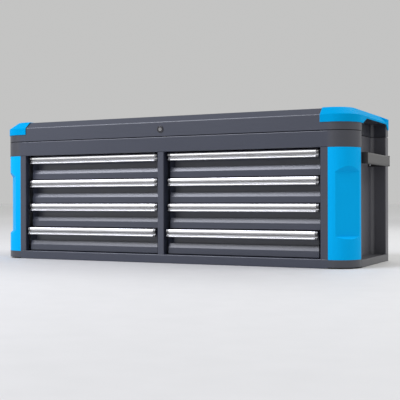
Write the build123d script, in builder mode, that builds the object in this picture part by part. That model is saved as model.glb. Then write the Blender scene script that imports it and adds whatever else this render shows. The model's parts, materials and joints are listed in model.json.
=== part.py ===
"""Wide top tool chest: a folded steel carcass with eight drawers, a hinged lid and a handle on each end.

Millimetres. The origin is on the floor, under the middle of the chest. +X is to the right of a person
who faces the drawers, -Y is towards that person and +Z is up.
"""

import os
from math import atan2, degrees, hypot

from build123d import *

os.makedirs("parts", exist_ok=True)

# Overall sizes of the carcass
WIDTH = 1320.0            # over the corner posts
DEPTH = 415.0             # front frame to the rear of the back panel
SHEET = 1.2               # steel of the carcass and the lid
BEND = 3.0                # outside radius of its folds
FIT = 0.3                 # clearance beside neighbouring pieces

# Heights, from the floor up
POST_FOOT = 4.0           # underside of the corner posts
LEDGE = 24.0              # floor of the side recess
BOTTOM_RAIL = 29.0        # top of the bottom rail
OPENING = 341.0           # height of the drawer openings
TOP_RAIL = 50.5           # rail between the openings and the lid
LID_SEAM = 2.0            # gap under the lid
LID_SKIRT = 47.5          # upright part of the lid
LID_RISE = 21.0           # height of the lid's bevel

# Plan of the carcass
CORNER_POST = 83.0        # front corner post, both ways
CORNER_RADIUS = 72.0      # its rounding
STILE = 23.5              # flat strip between a corner post and the opening
JAMB = 18.0               # how far the stile turns in beside the opening
CENTRE_POST = 23.5
SIDE_RECESS = 52.0        # the end panels lie this far inside the posts
RECESS_ROUND = 14.0       # inner corner of an end panel, in front of the rear post
REAR_POST = 32.0
RAIL_RETURN = 26.0        # flange of a rail beside the opening
RAIL_FOOT = 14.0          # flange of the bottom rail on the floor
RIM = 12.0                # flange of the top rail under the lid
RIM_LIP = 8.0             # its turned-down edge
LEDGE_LIP = 15.0          # how far the ledge runs in under an end panel

# Corner guards, moulded shells let into the corner posts
GUARD_OVERLAP = 2.5       # a guard reaches this far below the opening
GUARD_DEPTH = 18.0
GUARD_WALL = 2.5
EDGE_STRIP = 8.0          # steel left showing behind a guard
SCOOP_DEPTH = 13.0
SCOOP_BOTTOM = 90.0
SCOOP_TOP = 312.0
SCOOP_FOOT = 8.0          # height of its lower slope
SCOOP_HEAD = 17.0         # height of its upper slope

# Lid
LID_BEVEL = 27.0          # how far the bevel leans in
LID_EDGE = 6.0            # upright edge below the bevel, over the side recess
LID_CORNER = 60.0         # rounding of the front corners of its top
CREASE_RADIUS = 5.0
CAP_WALL = 2.5            # blue end caps
CAP_REACH = 107.0         # how far a cap comes round the front
CAP_DROP = 24.0           # its corners hang this far below the crease
CAP_GUSSET = 46.0         # length of the slope from the front corner up to the side strip
CAP_HEEL = 9.0            # the front corner drop ends this far behind the post
CAP_TAIL = 12.0           # rear corner drop
CAP_EAR = 26.0            # raised block on the rear corner
CAP_EAR_DROP = 8.5        # its outer edge lies this far under the lid's top

# Drawers
ROWS = 4
DRAWER_GAP = 3.0          # above and below each drawer front
DRAWER_SHEET = 1.0
DRAWER_DEPTH = 370.0
DRAWER_WALL = 60.0        # height of the box sides
DRAWER_LIFT = 4.0         # the floor lies this far above the lower edge of the front
FACE = 19.5               # flat lower strip of a drawer front
POCKET_DEPTH = 24.0       # finger pocket above it
POCKET_SLOPE = 14.5       # height of the slope up to the pocket's floor
POCKET_SLOPE_DEPTH = 6.5  # how far that slope leans back
POCKET_END = 8.0          # width of its end slopes
AJAR = 12.0               # the bottom drawers stand out this far at rest

# Pulls, aluminium extrusions clipped over the top of the drawer fronts
PULL_SETBACK = 12.0       # front of a closed pull behind the front frame
PULL_REACH = 17.0         # and ahead of the drawer front
PULL_HEIGHT = 26.5
PULL_WALL = 2.0
PULL_NOSE = 11.0          # height of the rounded top edge
PULL_NOSE_DEPTH = 5.5     # and its depth, less than the height
PULL_BAR = 8.0            # thickness of the upright bar
PULL_GROOVE = 4.0
PULL_LIP = 5.0            # height of the lower lip
PULL_LIP_ROUND = 3.0      # rounding of its lower edge
PULL_CLIP = 6.0
PULL_CAP = 9.0            # length of the plastic end pieces

# Drawer runners, one channel inside another
RUNNER_LENGTH = 350.0
RUNNER_HEIGHT = 35.0
RUNNER_DEPTH = 9.0
RUNNER_SETBACK = 50.0     # behind the front frame
RUNNER_RISE = 30.0        # centre above the lower edge of the drawer front

# Hinge along the back
KNUCKLE_RADIUS = 4.0
PIN_RADIUS = 2.0
PIN_FIT = 0.05
HINGE_LENGTH = 1100.0
KNUCKLES = 11
LEAF = 24.0
KNUCKLE_GAP = 0.4

# Lock in the lid
LOCK_RISE = 22.5          # centre above the lid's lower edge
LOCK_BEZEL = 24.0
LOCK_BEZEL_DEPTH = 2.0
LOCK_BARREL = 18.0
LOCK_LENGTH = 14.0        # barrel behind the lid's face
LOCK_PLUG = 12.0
KEY_SLOT = 7.0
KEY_SLOT_WIDTH = 1.6
KEY_SLOT_DEPTH = 3.0
CAM_LENGTH = 16.0
CAM_WIDTH = 10.0
CAM_THICK = 2.0
KEEPER_START = 9.0        # beside the lock's axis
KEEPER_WIDTH = 12.0
KEEPER_GAP = 1.5          # above and behind the turned cam
KEEPER_THICK = 2.0

# Gas struts that hold the lid
STRUT_FOOT_AHEAD = 30.0   # lower pivot ahead of the hinge axis
STRUT_FOOT_DROP = 36.0    # and below it
STRUT_HEAD_AHEAD = 230.0  # upper pivot ahead of the hinge axis
STRUT_HEAD_RISE = 30.0    # and above it
STRUT_EYE = 8.0           # radius of the end fittings
STRUT_EYE_WIDTH = 10.0
STRUT_NECK = 4.0          # radius between the lower fitting and the tube
STRUT_STUD = 4.0          # radius of the pivot studs
STRUT_STUD_LENGTH = 8.0   # of the stud on the lid, from its plate to the eye
STRUT_TUBE = 7.0          # radius
STRUT_TUBE_LENGTH = 120.0
STRUT_ROD = 3.0           # radius
STRUT_ROD_HIDDEN = 90.0   # length of rod inside the tube
STRUT_ROD_FIT = 0.1
BRACKET = 2.5             # thickness of the brackets
BRACKET_WIDTH = 24.0

# Handles in the side recesses
HANDLE_PROUD = 16.0       # outside the corner posts
HANDLE_RISE = 339.0       # centre line
HANDLE_HEIGHT = 35.0
HANDLE_DEPTH = 18.0
HANDLE_END_GAP = 2.0      # between a handle and the posts
HANDLE_ARM = 12.0
HANDLE_ROUND = 10.0
GRIP_ROUND = 7.0
FOOT_LENGTH = 18.0
FOOT_THICK = 4.0
SCREW_SPACING = 22.0
SCREW_HEAD = 4.5          # radius
SCREW_HEAD_DEPTH = 2.6
SCREW_SHANK = 2.5         # radius
SCREW_FIT = 0.1

# Places worked out from these sizes
HALF = WIDTH / 2
FRONT = (CAP_WALL - DEPTH - 2 * KNUCKLE_RADIUS) / 2
BACK = FRONT + DEPTH
POST_EDGE = HALF - CORNER_POST
STILE_EDGE = POST_EDGE - STILE
RAIL_END = POST_EDGE - SHEET
PANEL = HALF - SIDE_RECESS
POST_REAR = FRONT + CORNER_POST
STRIP = POST_REAR - EDGE_STRIP
STEP = BACK - REAR_POST
OPENING_TOP = BOTTOM_RAIL + OPENING
BODY_TOP = OPENING_TOP + TOP_RAIL
LID_BOTTOM = BODY_TOP + LID_SEAM
CREASE = LID_BOTTOM + LID_SKIRT
LID_TOP = CREASE + LID_RISE
GUARD_BOTTOM = BOTTOM_RAIL - GUARD_OVERLAP
OPENING_WIDTH = STILE_EDGE - CENTRE_POST / 2
DRAWER_WIDTH = OPENING_WIDTH - 2 * (RUNNER_DEPTH + FIT)
FRONT_HEIGHT = (OPENING - (ROWS + 1) * DRAWER_GAP) / ROWS
PITCH = FRONT_HEIGHT + DRAWER_GAP
HINGE_Y = BACK + KNUCKLE_RADIUS
HINGE_Z = BODY_TOP + LID_SEAM / 2


def write(name, shape):
    """Label a finished piece and write its file."""
    shape.label = name
    export_step(shape, f"parts/{name}.step")


def write_pair(name, right):
    """Write a right-hand piece and its mirror image on the left."""
    write(f"right_{name}", right)
    write(f"left_{name}", mirror(right, about=Plane.YZ))


def level(z):
    """Horizontal plane at a height."""
    return Plane.XY.offset(z)


def across(y):
    """Upright plane across the chest, with X to the right and Z up."""
    return Plane.XZ.offset(-y)


def folded(plane, points, radii, thickness=SHEET, side=Side.LEFT):
    """Section of a sheet folded along the points, with its thickness on one side of them."""
    with BuildSketch(plane) as section:
        with BuildLine():
            FilletPolyline(*points, radius=radii)
            offset(amount=thickness, side=side)
        make_face()
    return section.sketch


def outline(plane, points, radii):
    """Closed outline with its own rounding at each corner."""
    with BuildSketch(plane) as area:
        with BuildLine():
            FilletPolyline(*points, radius=radii, close=True)
        make_face()
    return area.sketch


def both_halves(right):
    """Points of a right half, from front to rear, followed by their mirror image from rear to front."""
    return right + [(-x, y) for x, y in reversed(right)]


# Front frame

with BuildPart() as top_rail:
    rim_end = FRONT + RIM
    rail_path = [
        (rim_end, BODY_TOP - RIM_LIP),
        (rim_end, BODY_TOP),
        (FRONT, BODY_TOP),
        (FRONT, OPENING_TOP),
        (FRONT + RAIL_RETURN, OPENING_TOP),
    ]
    extrude(folded(Plane.YZ, rail_path, BEND), amount=RAIL_END, both=True)

with BuildPart() as bottom_rail:
    rail_path = [
        (FRONT + RAIL_RETURN, BOTTOM_RAIL),
        (FRONT, BOTTOM_RAIL),
        (FRONT, 0),
        (FRONT + RAIL_FOOT, 0),
    ]
    extrude(folded(Plane.YZ, rail_path, BEND), amount=RAIL_END, both=True)

with BuildPart() as centre_divider:
    half_post = CENTRE_POST / 2
    wall_end = BACK - SHEET
    divider_path = [(-half_post, wall_end), (-half_post, FRONT), (half_post, FRONT), (half_post, wall_end)]
    extrude(folded(level(BOTTOM_RAIL), divider_path, BEND), amount=OPENING)

write("top_rail", top_rail.part)
write("bottom_rail", bottom_rail.part)
write("centre_divider", centre_divider.part)


def guard_plan(plane, skin, back):
    """Plan of a corner guard, drawn in by skin from its outer faces and closed at a depth behind them."""
    right = HALF - skin
    front = FRONT + skin
    left = POST_EDGE + skin
    rear = STRIP - skin
    points = [
        (left, front),
        (right, front),
        (right, rear),
        (HALF - back, rear),
        (HALF - back, FRONT + back),
        (left, FRONT + back),
    ]
    radii = [0, CORNER_RADIUS - skin, 0, 0, CORNER_RADIUS - back, 0]
    return outline(plane, points, radii)


def seat_shelf(plane):
    """Plan of the shelf below or above a guard, out to the rear faces of the seat that holds it."""
    back = GUARD_DEPTH + SHEET
    points = [
        (RAIL_END, FRONT),
        (HALF, FRONT),
        (HALF, STRIP + SHEET),
        (HALF - back, STRIP + SHEET),
        (HALF - back, FRONT + back),
        (RAIL_END, FRONT + back),
    ]
    radii = [0, CORNER_RADIUS, 0, 0, CORNER_RADIUS - back, 0]
    return outline(plane, points, radii)


with BuildPart() as front_post:
    post_end = [(HALF, POST_REAR), (PANEL - SHEET, POST_REAR)]
    band_path = [(RAIL_END, FRONT), (HALF, FRONT)] + post_end
    extrude(folded(level(POST_FOOT), band_path, [CORNER_RADIUS, BEND]), amount=GUARD_BOTTOM - POST_FOOT)
    extrude(folded(level(OPENING_TOP), band_path, [CORNER_RADIUS, BEND]), amount=TOP_RAIL)
    seat_path = [
        (POST_EDGE, FRONT),
        (POST_EDGE, FRONT + GUARD_DEPTH),
        (HALF - GUARD_DEPTH, FRONT + GUARD_DEPTH),
        (HALF - GUARD_DEPTH, STRIP),
        (HALF, STRIP),
    ] + post_end
    seat_radii = [0, CORNER_RADIUS - GUARD_DEPTH, 0, BEND, BEND]
    extrude(folded(level(GUARD_BOTTOM), seat_path, seat_radii), amount=OPENING_TOP - GUARD_BOTTOM)
    extrude(seat_shelf(level(GUARD_BOTTOM)), amount=-SHEET)
    extrude(seat_shelf(level(OPENING_TOP)), amount=SHEET)
    stile_path = [(STILE_EDGE, FRONT + JAMB), (STILE_EDGE, FRONT), (POST_EDGE, FRONT)]
    extrude(folded(level(BOTTOM_RAIL), stile_path, BEND), amount=OPENING)

write_pair("front_post", front_post.part)

# Corner guards


def scoop(skin=0.0):
    """Flat hollow cut across a guard's rounded corner, grown by skin for the inside of its wall."""
    axis_point = (HALF - CORNER_RADIUS, FRONT + CORNER_RADIUS, 0)
    floor = CORNER_RADIUS - SCOOP_DEPTH
    outside = CORNER_RADIUS + SCOOP_DEPTH
    with BuildPart() as cut:
        with BuildSketch(Plane(origin=axis_point, x_dir=(1, -1, 0), z_dir=(-1, -1, 0))):
            with BuildLine():
                Polyline(
                    (floor - skin, SCOOP_BOTTOM + SCOOP_FOOT - skin),
                    (floor - skin, SCOOP_TOP - SCOOP_HEAD + skin),
                    (outside, SCOOP_TOP + SCOOP_HEAD + skin),
                    (outside, SCOOP_BOTTOM - SCOOP_FOOT - skin),
                    close=True,
                )
            make_face()
        extrude(amount=CORNER_POST, both=True)
    return cut.part


with BuildPart() as guard_hollow:
    inner_wall = FIT + GUARD_WALL
    hollow_height = OPENING_TOP - GUARD_BOTTOM - 2 * inner_wall
    extrude(guard_plan(level(GUARD_BOTTOM + inner_wall), inner_wall, GUARD_DEPTH), amount=hollow_height)
    add(scoop(GUARD_WALL), mode=Mode.SUBTRACT)

with BuildPart() as corner_guard:
    guard_height = OPENING_TOP - GUARD_BOTTOM - 2 * FIT
    extrude(guard_plan(level(GUARD_BOTTOM + FIT), FIT, GUARD_DEPTH - FIT), amount=guard_height)
    add(scoop(), mode=Mode.SUBTRACT)
    add(guard_hollow.part, mode=Mode.SUBTRACT)

write_pair("corner_guard", corner_guard.part)

# Ends, back, base and inner walls

with BuildPart() as base_pan:
    ledge_end = PANEL - SHEET - LEDGE_LIP
    pan_path = [
        (ledge_end, LEDGE),
        (HALF, LEDGE),
        (HALF, 0),
        (-HALF, 0),
        (-HALF, LEDGE),
        (-ledge_end, LEDGE),
    ]
    extrude(folded(across(POST_REAR), pan_path, BEND, side=Side.RIGHT), amount=POST_REAR - BACK + SHEET)
    tongue = [
        (POST_EDGE, FRONT + RAIL_FOOT),
        (POST_EDGE, POST_REAR),
        (-POST_EDGE, POST_REAR),
        (-POST_EDGE, FRONT + RAIL_FOOT),
    ]
    extrude(outline(level(0), tongue, 0), amount=SHEET)

write("base_pan", base_pan.part)

with BuildPart() as back_panel:
    with Locations((0, BACK, 0)):
        Box(WIDTH, SHEET, BODY_TOP, align=(Align.CENTER, Align.MAX, Align.MIN))

write("back_panel", back_panel.part)

with BuildPart() as runner_panels:
    wall_path = [(STILE_EDGE, FRONT + JAMB), (STILE_EDGE, BACK - SHEET), (POST_EDGE, BACK - SHEET)]
    extrude(folded(level(BOTTOM_RAIL), wall_path, BEND, side=Side.RIGHT), amount=OPENING)
    mirror(about=Plane.YZ)

write("runner_panels", runner_panels.part)

with BuildPart() as till_floor:
    inside = PANEL - SHEET - FIT
    rear_inside = HALF - SHEET - FIT
    right_edge = [
        (POST_EDGE, FRONT + BEND),
        (POST_EDGE, POST_REAR + FIT),
        (inside, POST_REAR + FIT),
        (inside, STEP + BEND),
        (rear_inside, STEP + BEND),
        (rear_inside, BACK - SHEET),
    ]
    extrude(outline(level(OPENING_TOP + SHEET), both_halves(right_edge), 0), amount=SHEET)

write("till_floor", till_floor.part)

# Handles, each a bar between two bracketed arms

HANDLE_X = HALF + HANDLE_PROUD
HANDLE_FRONT = POST_REAR + HANDLE_END_GAP
HANDLE_REAR = STEP - HANDLE_END_GAP
HANDLE_MIDDLE = (HANDLE_FRONT + HANDLE_REAR) / 2
FOOT_MIDDLE = HANDLE_FRONT + HANDLE_ARM + FOOT_LENGTH / 2
SCREW_PLACES = [
    (y, HANDLE_RISE + z)
    for y in (FOOT_MIDDLE, 2 * HANDLE_MIDDLE - FOOT_MIDDLE)
    for z in (-SCREW_SPACING / 2, SCREW_SPACING / 2)
]

with BuildPart() as handle_brackets:
    arm_end = HANDLE_FRONT + HANDLE_ARM
    foot_end = arm_end + FOOT_LENGTH
    bracket_plan = [
        (PANEL, HANDLE_FRONT),
        (HANDLE_X, HANDLE_FRONT),
        (HANDLE_X, arm_end),
        (PANEL + FOOT_THICK, arm_end),
        (PANEL + FOOT_THICK, foot_end),
        (PANEL, foot_end),
    ]
    arm_level = level(HANDLE_RISE - HANDLE_HEIGHT / 2)
    bracket_radii = [RECESS_ROUND, HANDLE_ROUND, 0, 0, 0, 0]
    extrude(outline(arm_level, bracket_plan, bracket_radii), amount=HANDLE_HEIGHT)
    mirror(about=Plane.XZ.offset(-HANDLE_MIDDLE))
    with BuildSketch(Plane.YZ.offset(PANEL)):
        with Locations(*SCREW_PLACES):
            Circle(SCREW_SHANK + SCREW_FIT)
    extrude(amount=FOOT_THICK, mode=Mode.SUBTRACT)
    mirror(about=Plane.YZ)

with BuildPart() as handle_grips:
    with BuildSketch(across(HANDLE_FRONT + HANDLE_ARM)):
        with Locations((HANDLE_X - HANDLE_DEPTH / 2, HANDLE_RISE)):
            RectangleRounded(HANDLE_DEPTH, HANDLE_HEIGHT, GRIP_ROUND)
    extrude(amount=-2 * (HANDLE_MIDDLE - HANDLE_FRONT - HANDLE_ARM))
    mirror(about=Plane.YZ)

with BuildPart() as handle_screws:
    with BuildSketch(Plane.YZ.offset(PANEL + FOOT_THICK)):
        with Locations(*SCREW_PLACES):
            Circle(SCREW_HEAD)
    extrude(amount=SCREW_HEAD_DEPTH)
    chamfer(handle_screws.edges().group_by(Axis.X)[-1], SCREW_HEAD_DEPTH / 3)
    with BuildSketch(Plane.YZ.offset(PANEL - SHEET)):
        with Locations(*SCREW_PLACES):
            Circle(SCREW_SHANK)
    extrude(amount=SHEET + FOOT_THICK)
    mirror(about=Plane.YZ)

with BuildPart() as side_panel:
    side_path = [(PANEL, POST_REAR), (PANEL, STEP), (HALF, STEP), (HALF, BACK - SHEET)]
    extrude(folded(level(LEDGE), side_path, [RECESS_ROUND, BEND]), amount=BODY_TOP - LEDGE)
    with BuildSketch(Plane.YZ.offset(PANEL)):
        with Locations(*SCREW_PLACES):
            Circle(SCREW_SHANK + SCREW_FIT)
    extrude(amount=-SHEET, mode=Mode.SUBTRACT)

write("handle_brackets", handle_brackets.part)
write("handle_grips", handle_grips.part)
write("handle_screws", handle_screws.part)
write_pair("side_panel", side_panel.part)

# Lid


def lid_plan(plane, inset=0.0):
    """Plan of the lid's skirt, which follows the posts and the recessed ends of the carcass."""
    right_edge = [
        (HALF - inset, FRONT + inset),
        (HALF - inset, POST_REAR - inset),
        (PANEL - inset, POST_REAR - inset),
        (PANEL - inset, STEP + inset),
        (HALF - inset, STEP + inset),
        (HALF - inset, BACK - inset),
    ]
    radii = [CORNER_RADIUS - inset, 0, 0, RECESS_ROUND + inset, 0, 0]
    return outline(plane, both_halves(right_edge), radii + radii[::-1])


def rim_plan(plane, grow, lean, corner):
    """Plan of the lid above its skirt, leaning in on the front and the ends; its rear stays upright."""
    side = HALF + grow - lean
    front = FRONT - grow + lean
    rear = BACK + min(grow, 0)
    return outline(plane, both_halves([(side, front), (side, rear)]), [corner + grow, 0, 0, corner + grow])


def lid_crown(grow, low):
    """Upper part of the lid, grown on all sides: an upright edge and the bevel that rises from its crease."""
    with BuildPart() as crown:
        extrude(rim_plan(level(low), grow, 0, CORNER_RADIUS), amount=CREASE - low)
        edge = rim_plan(level(CREASE), grow, 0, CORNER_RADIUS)
        loft([edge, rim_plan(level(LID_TOP + grow), grow, LID_BEVEL, LID_CORNER)])
    return crown.part


def crown_edges(part, height):
    """Outer edges of the lid's crown at a height, without the rear one."""
    ring = part.edges().filter_by_position(Axis.Z, height, height)
    return ring.filter_by(lambda edge: edge.center().Y < BACK - BEND)


with BuildPart() as lid_shell:
    extrude(lid_plan(level(LID_BOTTOM)), amount=LID_SKIRT)
    add(lid_crown(0, CREASE - LID_EDGE))
    fillet(crown_edges(lid_shell.part, CREASE), CREASE_RADIUS)
    fillet(crown_edges(lid_shell.part, LID_TOP), CREASE_RADIUS)
    extrude(lid_plan(level(LID_BOTTOM), SHEET), amount=LID_SKIRT, mode=Mode.SUBTRACT)
    add(lid_crown(-SHEET, CREASE - LID_EDGE + SHEET), mode=Mode.SUBTRACT)
    with BuildSketch(across(FRONT)):
        with Locations((0, LID_BOTTOM + LOCK_RISE)):
            Circle(LOCK_BARREL / 2 + FIT)
    extrude(amount=-SHEET, mode=Mode.SUBTRACT)

write("lid_shell", lid_shell.part)

with BuildPart() as lid_cap:
    cap_low = CREASE - CAP_DROP
    cap_top = LID_TOP + CAP_WALL
    cap_side = HALF + CAP_WALL
    add(lid_crown(CAP_WALL, cap_low))
    with BuildSketch(across(BACK)):
        with BuildLine():
            Polyline(
                (cap_side - LID_BEVEL, cap_low),
                (cap_side, cap_low),
                (cap_side, LID_TOP - CAP_EAR_DROP),
                (cap_side - LID_BEVEL, cap_top),
                close=True,
            )
        make_face()
    extrude(amount=CAP_EAR)
    add(lid_crown(0, cap_low), mode=Mode.SUBTRACT)
    strip_low = CREASE - LID_EDGE
    with BuildSketch(Plane.YZ.offset(HALF - CAP_REACH)):
        with BuildLine():
            Polyline(
                (FRONT - CAP_WALL, cap_low),
                (POST_REAR + CAP_HEEL, cap_low),
                (POST_REAR + CAP_HEEL + CAP_GUSSET, strip_low),
                (STEP, strip_low),
                (BACK - CAP_TAIL, cap_low),
                (BACK, cap_low),
                (BACK, cap_top),
                (FRONT - CAP_WALL, cap_top),
                close=True,
            )
        make_face()
    extrude(amount=CAP_REACH + CAP_WALL, mode=Mode.INTERSECT)

write_pair("lid_cap", lid_cap.part)

# Piano hinge on the rear faces of the back panel and the lid


def hinge_leaf(first, upward):
    """One leaf with every second knuckle, from the first one named, standing up or hanging down."""
    pitch = HINGE_LENGTH / KNUCKLES
    clear = KNUCKLE_RADIUS + KNUCKLE_GAP
    with BuildPart() as leaf:
        with Locations((0, BACK, HINGE_Z + upward * (clear + LEAF / 2))):
            Box(HINGE_LENGTH, SHEET, LEAF, align=(Align.CENTER, Align.MIN, Align.CENTER))
        for knuckle in range(first, KNUCKLES, 2):
            middle = (knuckle + 0.5) * pitch - HINGE_LENGTH / 2
            with Locations((middle, BACK, HINGE_Z + upward * clear / 2)):
                Box(pitch - KNUCKLE_GAP, SHEET, clear, align=(Align.CENTER, Align.MIN, Align.CENTER))
            with BuildSketch(Plane.YZ.offset(middle)):
                with Locations((HINGE_Y, HINGE_Z)):
                    Circle(KNUCKLE_RADIUS)
            extrude(amount=(pitch - KNUCKLE_GAP) / 2, both=True)
        with BuildSketch(Plane.YZ):
            with Locations((HINGE_Y, HINGE_Z)):
                Circle(PIN_RADIUS + PIN_FIT)
        extrude(amount=HINGE_LENGTH / 2, both=True, mode=Mode.SUBTRACT)
    return leaf.part


with BuildPart() as body_hinge:
    add(hinge_leaf(0, -1))
    with BuildSketch(Plane.YZ):
        with Locations((HINGE_Y, HINGE_Z)):
            Circle(PIN_RADIUS)
    extrude(amount=HINGE_LENGTH / 2, both=True)

write("body_hinge", body_hinge.part)
write("lid_hinge", hinge_leaf(1, 1))

# Lock: the barrel sits in the lid's front, the plug turns in it and swings a cam under a keeper

LOCK_Z = LID_BOTTOM + LOCK_RISE
PLUG_END = FRONT + LOCK_LENGTH + FIT


def lock_disc(y, radius):
    """Circle on the lock's axis, facing the front."""
    with BuildSketch(across(y)) as disc:
        with Locations((0, LOCK_Z)):
            Circle(radius)
    return disc.sketch


with BuildPart() as lock_housing:
    extrude(lock_disc(FRONT, LOCK_BEZEL / 2), amount=LOCK_BEZEL_DEPTH)
    chamfer(lock_housing.edges().group_by(Axis.Y)[0], LOCK_BEZEL_DEPTH / 2)
    extrude(lock_disc(FRONT, LOCK_BARREL / 2), amount=-LOCK_LENGTH)
    extrude(lock_disc(FRONT, LOCK_PLUG / 2 + PIN_FIT), amount=LOCK_BEZEL_DEPTH, mode=Mode.SUBTRACT)
    extrude(lock_disc(FRONT, LOCK_PLUG / 2 + PIN_FIT), amount=-LOCK_LENGTH, mode=Mode.SUBTRACT)

with BuildPart() as lock_plug:
    extrude(lock_disc(PLUG_END, LOCK_PLUG / 2), amount=PLUG_END - FRONT + LOCK_BEZEL_DEPTH)
    with BuildSketch(across(FRONT - LOCK_BEZEL_DEPTH)):
        with Locations((0, LOCK_Z)):
            Rectangle(KEY_SLOT_WIDTH, KEY_SLOT)
    extrude(amount=-KEY_SLOT_DEPTH, mode=Mode.SUBTRACT)
    with BuildSketch(across(PLUG_END)):
        with Locations((0, LOCK_Z)):
            Circle(CAM_WIDTH / 2)
        with Locations((0, LOCK_Z - CAM_LENGTH / 2)):
            Rectangle(CAM_WIDTH, CAM_LENGTH)
    extrude(amount=-CAM_THICK)

write("lock_housing", lock_housing.part)
write("lock_plug", lock_plug.part)

# Gas struts: tubes that turn on the body's studs, rods that slide out of them

FOOT_Y = HINGE_Y - STRUT_FOOT_AHEAD
FOOT_Z = HINGE_Z - STRUT_FOOT_DROP
HEAD_Y = HINGE_Y - STRUT_HEAD_AHEAD
HEAD_Z = HINGE_Z + STRUT_HEAD_RISE
STRUT_LENGTH = hypot(HEAD_Y - FOOT_Y, HEAD_Z - FOOT_Z)
STRUT_DIRECTION = (0, HEAD_Y - FOOT_Y, HEAD_Z - FOOT_Z)
EYE_OUTER = PANEL - SHEET - BRACKET - STRUT_STUD_LENGTH - FIT
STRUT_X = EYE_OUTER - STRUT_EYE_WIDTH / 2
STRUT_AXIS = Plane(origin=(STRUT_X, FOOT_Y, FOOT_Z), x_dir=(1, 0, 0), z_dir=STRUT_DIRECTION)


def eye(y, z, radius):
    """Circle on a strut pivot, at the inner face of the eye."""
    with BuildSketch(Plane.YZ.offset(STRUT_X - STRUT_EYE_WIDTH / 2)) as disc:
        with Locations((y, z)):
            Circle(radius)
    return disc.sketch


with BuildPart() as strut_tubes:
    extrude(eye(FOOT_Y, FOOT_Z, STRUT_EYE), amount=STRUT_EYE_WIDTH)
    with BuildSketch(STRUT_AXIS):
        Circle(STRUT_NECK)
    extrude(amount=STRUT_EYE * 2)
    with BuildSketch(STRUT_AXIS.offset(STRUT_EYE * 2)):
        Circle(STRUT_TUBE)
    extrude(amount=STRUT_TUBE_LENGTH)
    with BuildSketch(STRUT_AXIS.offset(STRUT_EYE * 2 + STRUT_TUBE_LENGTH)):
        Circle(STRUT_ROD + STRUT_ROD_FIT)
    extrude(amount=-(STRUT_ROD_HIDDEN + STRUT_EYE), mode=Mode.SUBTRACT)
    extrude(eye(FOOT_Y, FOOT_Z, STRUT_STUD + PIN_FIT), amount=STRUT_EYE_WIDTH, mode=Mode.SUBTRACT)
    mirror(about=Plane.YZ)

with BuildPart() as strut_rods:
    rod_start = STRUT_EYE * 2 + STRUT_TUBE_LENGTH - STRUT_ROD_HIDDEN
    extrude(eye(HEAD_Y, HEAD_Z, STRUT_EYE), amount=STRUT_EYE_WIDTH)
    with BuildSketch(STRUT_AXIS.offset(rod_start)):
        Circle(STRUT_ROD)
    extrude(amount=STRUT_LENGTH - rod_start)
    mirror(about=Plane.YZ)

with BuildPart() as body_brackets:
    leg_inner = EYE_OUTER + FIT
    bracket_path = [
        (leg_inner + BRACKET_WIDTH, BACK - SHEET),
        (leg_inner, BACK - SHEET),
        (leg_inner, FOOT_Y - STRUT_EYE),
    ]
    bracket_low = FOOT_Z - BRACKET_WIDTH / 2
    extrude(folded(level(bracket_low), bracket_path, BEND, BRACKET), amount=BRACKET_WIDTH)
    extrude(eye(FOOT_Y, FOOT_Z, STRUT_STUD), amount=STRUT_EYE_WIDTH + FIT + BRACKET)
    mirror(about=Plane.YZ)
    keeper_rear = PLUG_END + CAM_THICK + KEEPER_GAP
    keeper_top = LOCK_Z + CAM_WIDTH / 2 + KEEPER_GAP + KEEPER_THICK
    keeper_path = [
        (FRONT + SHEET, BODY_TOP),
        (keeper_rear + KEEPER_THICK, BODY_TOP),
        (keeper_rear + KEEPER_THICK, keeper_top),
        (PLUG_END - FIT, keeper_top),
    ]
    keeper_plane = Plane.YZ.offset(KEEPER_START)
    extrude(folded(keeper_plane, keeper_path, BEND, KEEPER_THICK), amount=KEEPER_WIDTH)

with BuildPart() as lid_brackets:
    with Locations((PANEL - SHEET, HEAD_Y, HEAD_Z)):
        plate_align = (Align.MAX, Align.CENTER, Align.CENTER)
        Box(BRACKET, 2 * BRACKET_WIDTH, BRACKET_WIDTH, align=plate_align)
    extrude(eye(HEAD_Y, HEAD_Z, STRUT_STUD), amount=PANEL - SHEET - STRUT_X + STRUT_EYE_WIDTH / 2)
    extrude(eye(HEAD_Y, HEAD_Z, STRUT_EYE), amount=STRUT_EYE_WIDTH + FIT, mode=Mode.SUBTRACT)
    mirror(about=Plane.YZ)

write("strut_tubes", strut_tubes.part)
write("strut_rods", strut_rods.part)
write("body_brackets", body_brackets.part)
write("lid_brackets", lid_brackets.part)

# Drawers, each drawn about the lower edge of its own front and then put in its place


def pocket(skin=0.0):
    """Finger pocket pressed into a drawer front, grown by the sheet for its inner side."""
    ahead = -PULL_WALL
    shelf = FACE + POCKET_SLOPE
    top = FRONT_HEIGHT + PULL_WALL
    profile = [
        (ahead, FACE + ahead * POCKET_SLOPE / POCKET_SLOPE_DEPTH),
        (POCKET_SLOPE_DEPTH, shelf),
        (POCKET_DEPTH, shelf),
        (POCKET_DEPTH, top),
        (ahead, top),
    ]
    mouth = DRAWER_WIDTH / 2 - ahead * POCKET_END / POCKET_DEPTH
    rear = DRAWER_WIDTH / 2 - POCKET_END
    plan = [(-mouth, ahead), (mouth, ahead), (rear, POCKET_DEPTH), (-rear, POCKET_DEPTH)]
    with BuildPart() as hollow:
        with BuildSketch(Plane.YZ):
            Polygon(*profile, align=None)
            if skin:
                offset(amount=skin, kind=Kind.INTERSECTION)
        extrude(amount=DRAWER_WIDTH, both=True)
        with BuildSketch():
            Polygon(*plan, align=None)
            if skin:
                offset(amount=skin, kind=Kind.INTERSECTION)
        extrude(amount=FRONT_HEIGHT + 2 * PULL_WALL, mode=Mode.INTERSECT)
    return hollow.part


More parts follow.
